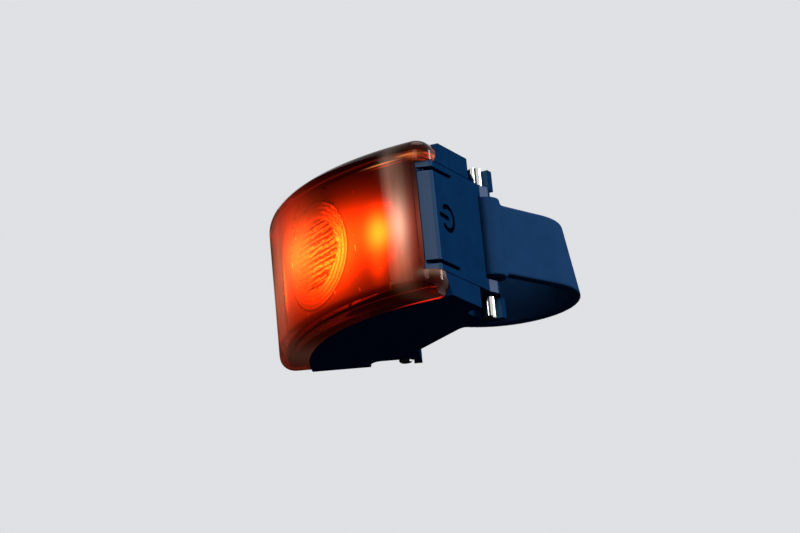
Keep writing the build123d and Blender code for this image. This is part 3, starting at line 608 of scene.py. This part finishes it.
# Silicone strap, in millimetres. WRAP_START is the turn at which the band's straight run meets the post
WRAP_START = (math.atan2(PIN[1], PIN[0])
              + math.acos((POST_RADIUS + STRAP_THICKNESS - LOOP_RADIUS) / math.hypot(*PIN)))
BAND_LOW, BAND_HIGH = -6.85, 7.45
LOOP_LOW, LOOP_HIGH = -7.6, 8.35
BULGE, BULGE_WAY = 0.9, math.radians(30)
PIN_HOLE = 1.46
HOOK_MOUTH, HOOK_REACH = (math.radians(5), math.radians(65)), 7.0
TAB_REACH, TAB_THICKNESS, TAB_HALF_HEIGHT = 9.0, 1.1, 5.6
GRIP_RIBS, GRIP_PITCH, GRIP_RADIUS = 3, 1.5, 0.45
STRAP_VOXEL, STRAP_ROUNDS = 0.25, 6
CUTTER_HALF_HEIGHT = 12.0


def strap_path():
    """Points in plan from pin to pin round the post, each with its normal and its share of the lean."""
    middle = LOOP_RADIUS - STRAP_THICKNESS / 2
    wrap = POST_RADIUS + STRAP_THICKNESS / 2
    out = Vector((math.cos(WRAP_START), math.sin(WRAP_START)))
    start = Vector(PIN) + out * middle
    steps, arc_steps = 24, 150
    straight = [(start.lerp(out * wrap, i / steps), out, i / steps) for i in range(steps + 1)]
    path = list(straight)
    for i in range(1, arc_steps + 1):
        a = WRAP_START + (math.pi - 2 * WRAP_START) * i / arc_steps
        normal = Vector((math.cos(a), math.sin(a)))
        path.append((normal * wrap, normal, 1.0))
    for point, normal, weight in straight[-2::-1]:
        path.append((Vector((-point.x, point.y)), Vector((-normal.x, normal.y)), weight))
    return path


def strap_band(bm):
    """Band from pin to pin round the leaning post, as one closed strip."""
    rings = []
    for point, normal, weight in strap_path():
        stretch = 1 + weight * (1 / math.cos(LEAN) - 1)
        ring = []
        for offset, z in ((-1, BAND_LOW), (1, BAND_LOW), (1, BAND_HIGH), (-1, BAND_HIGH)):
            p = point + normal * offset * STRAP_THICKNESS / 2
            ring.append(bm.verts.new((p.x, p.y * stretch - weight * z * math.tan(LEAN), z)))
        rings.append(ring)
    for a, b in zip(rings, rings[1:]):
        for i in range(4):
            j = (i + 1) % 4
            bm.faces.new((a[i], a[j], b[j], b[i]))
    bm.faces.new(rings[0])
    bm.faces.new(list(reversed(rings[-1])))


def strap_loops(bm):
    """Thick loops round both pins, fuller on their outer side."""
    for side in (1, -1):
        centre = (side * PIN[0], PIN[1])
        fuller = (centre[0] + side * BULGE * math.cos(BULGE_WAY), centre[1] + BULGE * math.sin(BULGE_WAY))
        for middle in (centre, fuller):
            prism(bm, circle(middle, LOOP_RADIUS), LOOP_LOW, LOOP_HIGH)


def strap_tab(bm):
    """Pull tab beside the left panel, with its grip ribs."""
    out = LOOP_RADIUS - PIN_SINK
    start = PIN_ALONG - TAB_REACH
    corners = [side_xy(start, out - TAB_THICKNESS), side_xy(PIN_ALONG, out - TAB_THICKNESS),
               side_xy(PIN_ALONG, out), side_xy(start, out)]
    prism(bm, [(-x, y) for x, y in corners], -TAB_HALF_HEIGHT, TAB_HALF_HEIGHT)
    for i in range(GRIP_RIBS):
        x, y = side_xy(start + (i + 1) * GRIP_PITCH, out)
        prism(bm, circle((-x, y), GRIP_RADIUS, 24), -TAB_HALF_HEIGHT, TAB_HALF_HEIGHT)


def make_strap():
    """The strap in one skin, with holes for the pins and the open hook of its left loop."""
    bm = bmesh.new()
    strap_band(bm)
    strap_loops(bm)
    strap_tab(bm)
    obj = mesh_object("strap_silicone", bm)
    remesh(obj, STRAP_VOXEL, STRAP_ROUNDS)

    bm = bmesh.new()
    for side in (1, -1):
        prism(bm, circle((side * PIN[0], PIN[1]), PIN_HOLE, 48), -CUTTER_HALF_HEIGHT, CUTTER_HALF_HEIGHT)
    cut(obj, bm)

    bm = bmesh.new()
    x, y = -PIN[0], PIN[1]
    mouth = [(x + HOOK_REACH * math.cos(a), y + HOOK_REACH * math.sin(a)) for a in HOOK_MOUTH]
    prism(bm, [(x, y), *mouth], -CUTTER_HALF_HEIGHT, CUTTER_HALF_HEIGHT)
    cut(obj, bm)
    return obj


strap = make_strap()
paint(strap, "blue_rubber")
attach(strap, "light")
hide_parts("strap")

# Rubber pieces with rounded edges: node, body, voxel size in millimetres, rounds of smoothing
RUBBER_PIECES = (("saddle_pad", "light", 0.22, 4), ("port_flap", "flap", 0.12, 4),
                 ("lens_seal", "light", 0.13, 2), ("switch_boot", "switch", 0.1, 3))
for node, body, voxel, rounds in RUBBER_PIECES:
    piece = copy_of(node, node + "_rubber")
    remesh(piece, voxel, rounds)
    paint(piece, slots[node])
    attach(piece, body)
    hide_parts(node)


# Diffuser, in millimetres: a thin sheet close behind the lens, open round the main optic's solid, that
# carries the painted glow of the LEDs
DIFFUSER_HALF_WIDTH, DIFFUSER_HALF_HEIGHT = 25.0, 12.3
DIFFUSER_GAP, DIFFUSER_THICKNESS = 2.25, 0.3
HOLE_HEIGHT, HOLE_RADIUS = 3.9, 9.9
HOLE_FRONT, HOLE_REAR = -LENS_RADIUS, -20.0


def make_diffuser():
    """Curved sheet that follows the inside of the lens."""
    bm = bmesh.new()
    columns = 60
    across = [DIFFUSER_HALF_WIDTH * (2 * i / columns - 1) for i in range(columns + 1)]
    sheets = []
    for depth in (DIFFUSER_GAP, DIFFUSER_GAP + DIFFUSER_THICKNESS):
        radius = LENS_RADIUS - depth
        sheets.append([[bm.verts.new((x, LENS_CENTRE_Y - math.sqrt(radius ** 2 - x * x), z)) for x in across]
                       for z in (-DIFFUSER_HALF_HEIGHT, DIFFUSER_HALF_HEIGHT)])
    (a, b), (c, d) = sheets
    for i in range(columns):
        bm.faces.new((a[i], a[i + 1], b[i + 1], b[i]))
        bm.faces.new((c[i + 1], c[i], d[i], d[i + 1]))
    outline = a + b[::-1]
    behind = c + d[::-1]
    for i in range(len(outline)):
        j = (i + 1) % len(outline)
        bm.faces.new((outline[i], behind[i], behind[j], outline[j]))
    obj = mesh_object("light_diffuser", bm)

    bm = bmesh.new()
    ring = circle((0.0, HOLE_HEIGHT), HOLE_RADIUS, 72)
    closed_body(bm, [(x, HOLE_FRONT, z) for x, z in ring], [(x, HOLE_REAR, z) for x, z in ring])
    cut(obj, bm)
    return obj


diffuser = make_diffuser()
paint(diffuser, "white_plastic")
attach(diffuser, "light")


# Power symbol cut into the button tongue, in millimetres along the panel and up. Its open ring goes
# SYMBOL_HALF_TURN degrees each way from the side away from the lens
SYMBOL_CENTRE, SYMBOL_TILT = Vector((4.9, 0.27)), math.radians(-4)
SYMBOL_RADIUS, SYMBOL_HALF_TURN = 2.35, 130
SYMBOL_BAR, SYMBOL_WIDTH = 2.9, 0.95
SYMBOL_DEPTH, CUTTER_OUT = 0.4, 1.0


def round_end(tip, before, half):
    """Points of the half circle round the last point of a path."""
    way = tip - before
    start = math.atan2(way.y, way.x) + math.pi / 2
    turns = [start - math.pi * k / 8 for k in range(1, 8)]
    return [tip + half * Vector((math.cos(a), math.sin(a))) for a in turns]


def round_band(path, half):
    """Outline of a band of constant width along a path, with round ends."""
    left, right = [], []
    for i, point in enumerate(path):
        way = (path[min(i + 1, len(path) - 1)] - path[max(i - 1, 0)]).normalized()
        aside = Vector((-way.y, way.x)) * half
        left.append(point + aside)
        right.append(point - aside)
    return (left + round_end(path[-1], path[-2], half) + right[::-1]
            + round_end(path[0], path[1], half))


def symbol_cutter():
    """Open ring and bar of the power symbol, as bodies that reach into the panel."""
    bm = bmesh.new()
    turns = [math.radians(a) + SYMBOL_TILT for a in range(-SYMBOL_HALF_TURN, SYMBOL_HALF_TURN + 1, 5)]
    ring = [SYMBOL_CENTRE + SYMBOL_RADIUS * Vector((math.cos(a), math.sin(a))) for a in turns]
    foot = SYMBOL_CENTRE - SYMBOL_BAR * Vector((math.cos(SYMBOL_TILT), math.sin(SYMBOL_TILT)))
    for path in (ring, [foot, SYMBOL_CENTRE]):
        outline = round_band(path, SYMBOL_WIDTH / 2)
        closed_body(bm, [(*side_xy(p.x, -SYMBOL_DEPTH), p.y) for p in outline],
                    [(*side_xy(p.x, CUTTER_OUT), p.y) for p in outline])
    return bm


tongue = copy_of("button_tongue", "button_face")
cut(tongue, symbol_cutter())
for face in tongue.data.polygons:
    face.use_smooth = False
paint(tongue, "blue_plastic")
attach(tongue, "button")
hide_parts("button_tongue")


# Studio, in metres
CENTRE = Vector((0.0, -0.012, 0.0))
FLOOR_DEPTH, FLOOR_HALF_SIZE = 0.42, 6.0
PALE_ROOM = (0.74, 0.75, 0.77)
DUSK, DUSK_HEIGHT, DUSK_FLOOR = (0.30, 0.31, 0.33), (-0.15, 0.35), 0.05
PALE_PAPER = (0.78, 0.78, 0.79)
DARK_PAPER = (0.04, 0.04, 0.045)
PAPER_GLOW = (0.36, 0.365, 0.375)


def pale_or(tree, seen, unseen):
    """seen for camera, mirror and glass rays, unseen for the light that falls on the object."""
    path = tree.nodes.new("ShaderNodeLightPath")
    direct = tree.math("MAXIMUM", path.outputs["Is Camera Ray"],
                       tree.math("MAXIMUM", path.outputs["Is Glossy Ray"],
                                 path.outputs["Is Transmission Ray"]))
    first = tree.math("LESS_THAN", path.outputs["Diffuse Depth"], 0.5)
    return tree.mix(tree.times(direct, first), unseen, seen)


def make_world():
    """Pale room where it is seen, and a dusk that is dark below for the light on the object."""
    world = bpy.data.worlds.new("studio")
    bpy.context.scene.world = world
    world.use_nodes = True
    tree = Tree(world.node_tree)
    tree.nodes.clear()
    height = tree.split(tree.add("ShaderNodeTexCoord", out="Generated"))[2]
    dusk = tree.scale(DUSK, tree.spread(height, *DUSK_HEIGHT, DUSK_FLOOR))
    sky = tree.add("ShaderNodeBackground", {"Color": pale_or(tree, PALE_ROOM, dusk), "Strength": 1.0})
    end = tree.nodes.new("ShaderNodeOutputWorld")
    tree.plug(end.inputs[0], sky)


def board(name, half_size, material):
    """Flat board, half_size in metres each way."""
    bm = bmesh.new()
    bmesh.ops.create_grid(bm, x_segments=1, y_segments=1, size=1 / MM)
    obj = mesh_object(name, bm)
    obj.scale = (*half_size, 1.0)
    coat(obj, material)
    return obj


def floor_paper():
    """Pale paper that throws little light up at the object."""
    material, tree, shader = new_material("floor_paper")
    tree.plug(shader.inputs["Base Color"], pale_or(tree, PALE_PAPER, DARK_PAPER))
    shader.inputs["Roughness"].default_value = 0.9
    shader.inputs["Specular IOR Level"].default_value = 0.1
    tree.plug(shader.inputs["Emission Color"], pale_or(tree, PAPER_GLOW, (0.0, 0.0, 0.0)))
    shader.inputs["Emission Strength"].default_value = 1.0
    return material


def flag_cloth():
    """Black cloth without a sheen."""
    material, tree, shader = new_material("flag_cloth")
    tree.plug(shader.inputs["Base Color"], (0.004, 0.004, 0.004))
    shader.inputs["Roughness"].default_value = 1.0
    shader.inputs["Specular IOR Level"].default_value = 0.0
    return material


def look_at_centre(obj, direction, distance):
    """Places obj at a distance from the object's middle, facing it."""
    way = Vector(direction).normalized()
    obj.location = CENTRE + way * distance
    obj.rotation_mode = "QUATERNION"
    obj.rotation_quaternion = way.to_track_quat("Z", "Y")


def softbox(name, direction, distance, size, power, colour=(1, 1, 1)):
    """Area lamp that looks at the object's middle."""
    data = bpy.data.lights.new(name, "AREA")
    data.shape = "RECTANGLE"
    data.size, data.size_y = size
    data.energy = power
    data.color = colour
    lamp = bpy.data.objects.new(name, data)
    bpy.context.scene.collection.objects.link(lamp)
    look_at_centre(lamp, direction, distance)
    lamp.visible_camera = False


def black_flag(name, direction, distance, half_size, material):
    """Board that only mirror rays see."""
    flag = board(name, half_size, material)
    look_at_centre(flag, direction, distance)
    flag.visible_camera = False
    flag.visible_diffuse = False
    flag.visible_shadow = False
    flag.visible_transmission = False


make_world()
floor = board("floor", (FLOOR_HALF_SIZE, FLOOR_HALF_SIZE), floor_paper())
floor.location.z = -FLOOR_DEPTH

# Before, beside and under the lens, which mirrors them instead of the pale room
cloth = flag_cloth()
black_flag("front_flag", (-0.70, -0.66, 0.28), 0.8, (0.95, 0.6), cloth)
black_flag("side_flag", (-0.95, -0.05, -0.25), 0.72, (0.62, 0.62), cloth)
black_flag("low_flag", (-0.2, -0.35, -0.9), 0.25, (0.8, 0.8), cloth)

softbox("key_strip", (0.03, -0.948, 0.32), 0.62, (0.12, 0.16), 0.19, (1.0, 0.96, 0.9))
softbox("fill", (0.757, -0.583, 0.296), 0.75, (0.35, 0.35), 3.0)
softbox("rim", (0.382, 0.876, 0.296), 0.75, (0.25, 0.3), 3.5, (0.93, 0.95, 1.0))
softbox("top", (0.1, 0.1, 1.0), 0.8, (0.5, 0.5), 3.0)

# Camera at the photograph's viewing angle, its place in millimetres
AZIMUTH, ELEVATION, ROLL = math.radians(57.107), math.radians(-17.216), math.radians(-5.582)
CAMERA_PLACE = Vector((433.18, -302.23, -160.45))
SENSOR_WIDTH = 36.0
PHOTO_WIDTH_PIXELS, FOCAL_PIXELS = 800, 2735.26
back = Vector((math.sin(AZIMUTH) * math.cos(ELEVATION), -math.cos(AZIMUTH) * math.cos(ELEVATION),
               math.sin(ELEVATION)))
right = Vector((math.cos(AZIMUTH), math.sin(AZIMUTH), 0))
up = back.cross(right)
turned = math.cos(ROLL) * right + math.sin(ROLL) * up
upright = -math.sin(ROLL) * right + math.cos(ROLL) * up
camera_data = bpy.data.cameras.new("camera")
camera_data.sensor_width = SENSOR_WIDTH
camera_data.lens = FOCAL_PIXELS * SENSOR_WIDTH / PHOTO_WIDTH_PIXELS
camera_data.clip_start, camera_data.clip_end = 0.05, 20
camera = bpy.data.objects.new("camera", camera_data)
bpy.context.scene.collection.objects.link(camera)
place = Matrix((turned, upright, back)).transposed().to_4x4()
place.translation = CAMERA_PLACE * MM
camera.matrix_world = place
bpy.context.scene.camera = camera
bpy.context.scene.view_settings.view_transform = "Standard"
